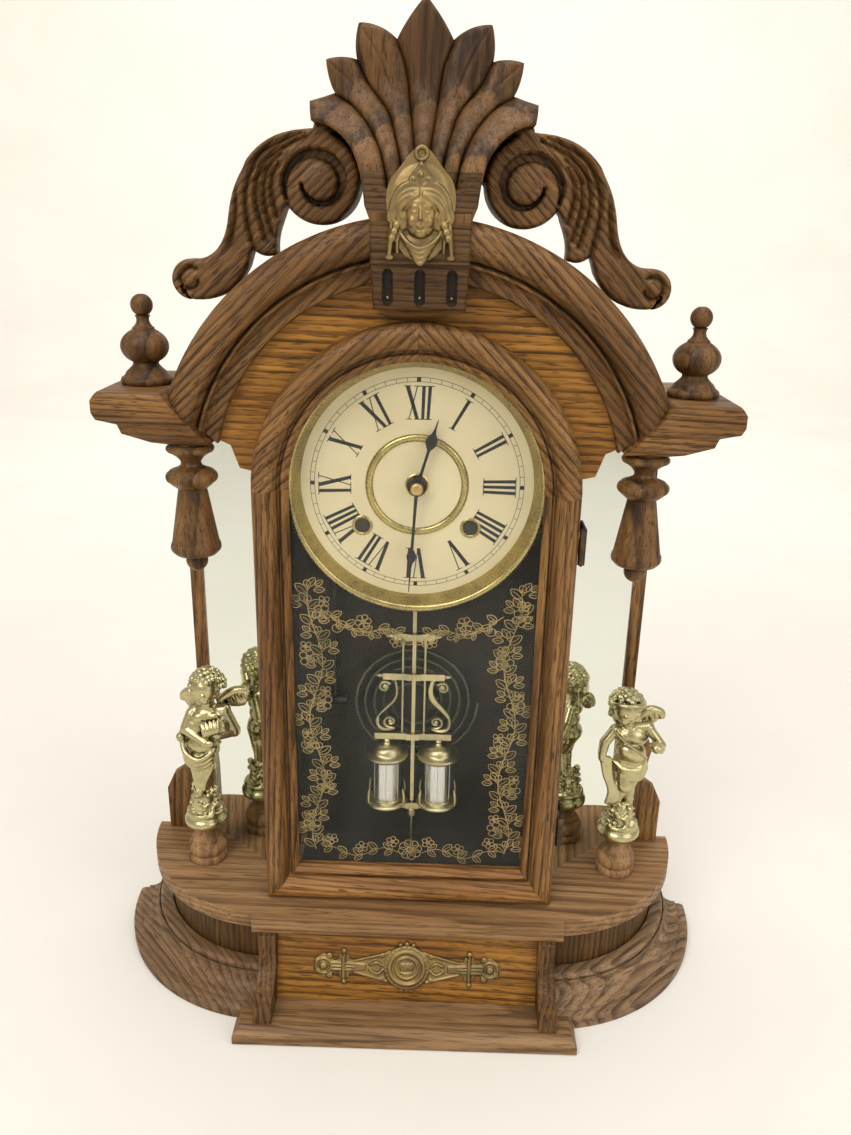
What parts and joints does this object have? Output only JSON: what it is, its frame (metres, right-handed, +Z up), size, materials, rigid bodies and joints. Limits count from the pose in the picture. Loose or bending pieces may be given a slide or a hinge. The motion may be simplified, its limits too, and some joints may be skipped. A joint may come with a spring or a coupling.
{
  "type": "parlor shelf clock",
  "caption": "Carved oak parlour shelf clock with mirrored back, gilt winged figures, arched glazed door, round dial and two-jar lyre pendulum.",
  "frame": {"origin": "centre of the base footprint, on the surface the clock stands on", "axes": "+X to the viewer's right, +Y to the back, +Z up"},
  "size_m": [0.432, 0.142, 0.622],
  "materials": {
    "dark_oak": "satin, open dark grain",
    "golden_oak": "satin, quarter-sawn figure",
    "deck_oak": "worn satin",
    "stained_wall": "dark satin",
    "aged_brass": "stamped, patinated",
    "polished_brass": "spun, polished with tarnish",
    "clock_brass": "brushed",
    "pendulum_brass": "satin",
    "gilt_metal": "bright gilt cast",
    "mirror_glass": "silvered",
    "clear_glass": "clear with printed gold border",
    "dial_enamel": "satin cream",
    "black_steel": "satin black",
    "blued_steel": "oiled"
  },
  "bodies": {
    "case": {"base_molding_left": "dark_oak", "base_molding_right": "dark_oak", "base_brackets": "dark_oak", "backboard": "dark_oak", "case_sides": "dark_oak", "case_top": "dark_oak", "front_stiles": "dark_oak", "arch_molding": "dark_oak", "cornice_left": "dark_oak", "cornice_right": "dark_oak", "keystone": "dark_oak", "crest_fan": "dark_oak", "crest_scroll_left": "dark_oak", "crest_scroll_right": "dark_oak", "finials": "dark_oak", "drops": "dark_oak", "pedestals": "dark_oak", "front_board": "golden_oak", "base_panel": "golden_oak", "deck": "deck_oak", "front_step": "deck_oak", "base_walls": "stained_wall", "case_hinges": "aged_brass", "base_ornament": "aged_brass", "mask_ornament": "aged_brass", "mirror_left": "mirror_glass", "mirror_right": "mirror_glass", "cupid_left": "gilt_metal", "cupid_right": "gilt_metal", "dial_plate": "dial_enamel", "dial_bezel": "polished_brass", "front_plate": "clock_brass", "back_plate": "clock_brass", "mainsprings": "blued_steel", "gong": "blued_steel"},
    "door": {"door_arch": "dark_oak", "door_stile_left": "dark_oak", "door_stile_right": "dark_oak", "door_rail": "dark_oak", "door_glass": "clear_glass", "door_hinges": "aged_brass"},
    "center_arbor": {"minute_hand": "black_steel", "center_wheel": "clock_brass"},
    "hour_pipe": {"hour_hand": "black_steel", "hour_wheel": "clock_brass"},
    "minute_wheel_body": {"minute_wheel": "clock_brass"},
    "second_arbor": {"second_wheel": "clock_brass"},
    "third_arbor": {"third_wheel": "clock_brass"},
    "escape_arbor": {"escape_wheel": "clock_brass"},
    "time_main": {"time_main_wheel": "clock_brass"},
    "time_winding": {"time_winding_arbor": "blued_steel"},
    "strike_main": {"strike_main_wheel": "clock_brass"},
    "pin_arbor": {"pin_wheel": "clock_brass"},
    "warning_arbor": {"warning_wheel": "clock_brass"},
    "fly_arbor": {"fly": "clock_brass"},
    "strike_winding": {"strike_winding_arbor": "blued_steel"},
    "hammer": {"strike_hammer": "blued_steel"},
    "verge_body": {"verge": "blued_steel"},
    "pendulum": {"pendulum_rod": "pendulum_brass"},
    "bob": {"pendulum_bob": "pendulum_brass"}
  },
  "joints": [
    {"name": "door_hinge", "type": "hinge", "parent": "case", "child": "door", "pos_m": [0.0998, -0.011, 0.22], "axis": [0, 0, 1], "range_deg": [0, 110]},
    {"name": "minute_hand_turn", "type": "hinge", "parent": "case", "child": "center_arbor", "pos_m": [0, 0.045, 0.361], "axis": [0, 1, 0], "continuous": true},
    {"name": "hour_hand_turn", "type": "hinge", "parent": "case", "child": "hour_pipe", "pos_m": [0, 0.045, 0.361], "axis": [0, 1, 0], "continuous": true},
    {"name": "minute_wheel_turn", "type": "hinge", "parent": "case", "child": "minute_wheel_body", "pos_m": [0, 0.045, 0.373], "axis": [0, 1, 0], "continuous": true},
    {"name": "second_wheel_turn", "type": "hinge", "parent": "case", "child": "second_arbor", "pos_m": [0.02391, 0.045, 0.35891], "axis": [0, 1, 0], "continuous": true},
    {"name": "time_main_wheel_turn", "type": "hinge", "parent": "case", "child": "time_main", "pos_m": [0.0334, 0.045, 0.3347], "axis": [0, 1, 0], "continuous": true},
    {"name": "third_wheel_turn", "type": "hinge", "parent": "case", "child": "third_arbor", "pos_m": [-0.00624, 0.045, 0.342], "axis": [0, 1, 0], "continuous": true},
    {"name": "escape_wheel_turn", "type": "hinge", "parent": "case", "child": "escape_arbor", "pos_m": [0, 0.045, 0.323], "axis": [0, 1, 0], "continuous": true},
    {"name": "time_winding_turn", "type": "hinge", "parent": "case", "child": "time_winding", "pos_m": [0.0334, 0.045, 0.3347], "axis": [0, 1, 0], "continuous": true},
    {"name": "strike_winding_turn", "type": "hinge", "parent": "case", "child": "strike_winding", "pos_m": [-0.0334, 0.045, 0.3347], "axis": [0, 1, 0], "continuous": true},
    {"name": "pin_wheel_turn", "type": "hinge", "parent": "case", "child": "pin_arbor", "pos_m": [-0.03521, 0.045, 0.36064], "axis": [0, 1, 0], "continuous": true},
    {"name": "strike_main_wheel_turn", "type": "hinge", "parent": "case", "child": "strike_main", "pos_m": [-0.0334, 0.045, 0.3347], "axis": [0, 1, 0], "continuous": true},
    {"name": "warning_wheel_turn", "type": "hinge", "parent": "case", "child": "warning_arbor", "pos_m": [-0.02952, 0.045, 0.38189], "axis": [0, 1, 0], "continuous": true},
    {"name": "fly_turn", "type": "hinge", "parent": "case", "child": "fly_arbor", "pos_m": [-0.02952, 0.045, 0.39989], "axis": [0, 1, 0], "continuous": true},
    {"name": "hammer_swing", "type": "hinge", "parent": "case", "child": "hammer", "pos_m": [-0.057, 0.045, 0.351], "axis": [0, 1, 0], "range_deg": [0, 8], "stiffness_Nm_per_rad": 0.01, "springref_deg": -5.73},
    {"name": "pendulum_swing", "type": "hinge", "parent": "case", "child": "pendulum", "pos_m": [0, 0.045, 0.341], "axis": [0, 1, 0], "range_deg": [-4, 4]},
    {"name": "verge_rock", "type": "hinge", "parent": "case", "child": "verge_body", "pos_m": [0, 0.045, 0.341], "axis": [0, 1, 0], "range_deg": [-4, 4]},
    {"name": "bob_height", "type": "slide", "parent": "pendulum", "child": "bob", "axis": [0, 0, 1], "range_m": [-0.004, 0.004]}
  ],
  "couplings": [
    {"joint": "hour_hand_turn", "follows": "minute_hand_turn", "ratio": 0.083333},
    {"joint": "minute_wheel_turn", "follows": "minute_hand_turn", "ratio": -0.33333},
    {"joint": "second_wheel_turn", "follows": "minute_hand_turn", "ratio": -0.2},
    {"joint": "time_main_wheel_turn", "follows": "minute_hand_turn", "ratio": 0.036364},
    {"joint": "third_wheel_turn", "follows": "minute_hand_turn", "ratio": -9},
    {"joint": "escape_wheel_turn", "follows": "minute_hand_turn", "ratio": 81},
    {"joint": "strike_main_wheel_turn", "follows": "pin_wheel_turn", "ratio": -0.18182},
    {"joint": "warning_wheel_turn", "follows": "pin_wheel_turn", "ratio": -4.5},
    {"joint": "fly_turn", "follows": "pin_wheel_turn", "ratio": 15.75},
    {"joint": "verge_rock", "follows": "pendulum_swing", "ratio": 1}
  ]
}
